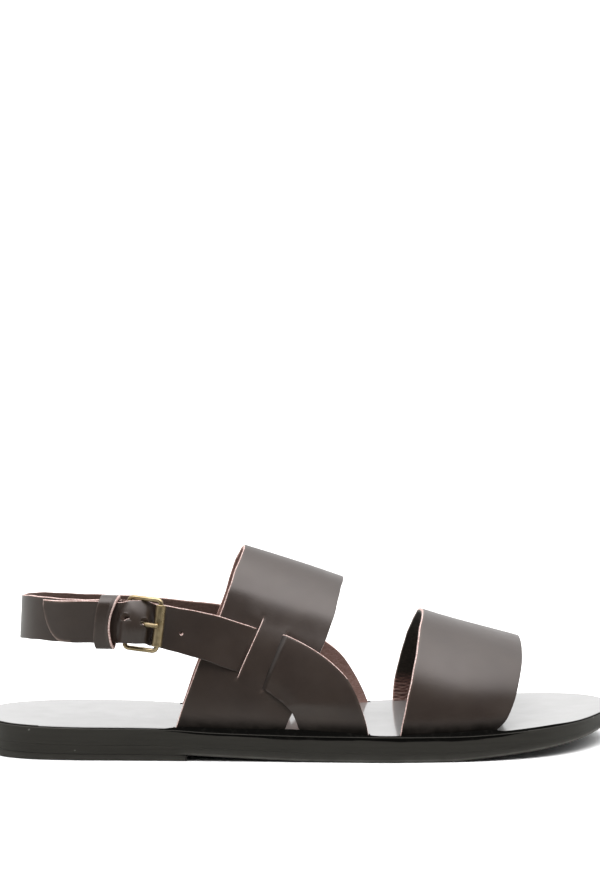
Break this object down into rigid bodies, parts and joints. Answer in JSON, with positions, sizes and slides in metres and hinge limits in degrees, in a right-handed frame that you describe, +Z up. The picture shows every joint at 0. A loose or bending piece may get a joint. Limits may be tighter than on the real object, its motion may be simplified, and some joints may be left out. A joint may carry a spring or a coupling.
{
  "type": "flat leather sandal",
  "caption": "Flat leather sandal for the right foot: wide front strap, instep band with crossing wings, buckled heel strap and a layered leather sole with a low heel.",
  "frame": {"origin": "on the floor, at the centre of the sole's box", "axes": "+X to the toe, +Y to the inner (medial) side of the foot, +Z up"},
  "size_m": [0.28, 0.0969, 0.0886],
  "materials": {
    "strap_leather": "smooth dark brown, satin, with raw pale edges and a red-brown flesh side",
    "sole_edge": "near black, waxed and sanded edge",
    "insole_leather": "pale grey, smooth, with a low gloss",
    "brass": "antique brass, satin"
  },
  "bodies": {
    "root": {"instep_straps": "strap_leather", "front_strap": "strap_leather", "strap_keeper": "strap_leather", "buckle_frame": "brass", "buckle_roller": "brass", "buckle_prong": "brass", "heel_lift": "sole_edge", "outsole": "sole_edge", "midsole": "sole_edge", "insole": "insole_leather"}
  },
  "joints": []
}
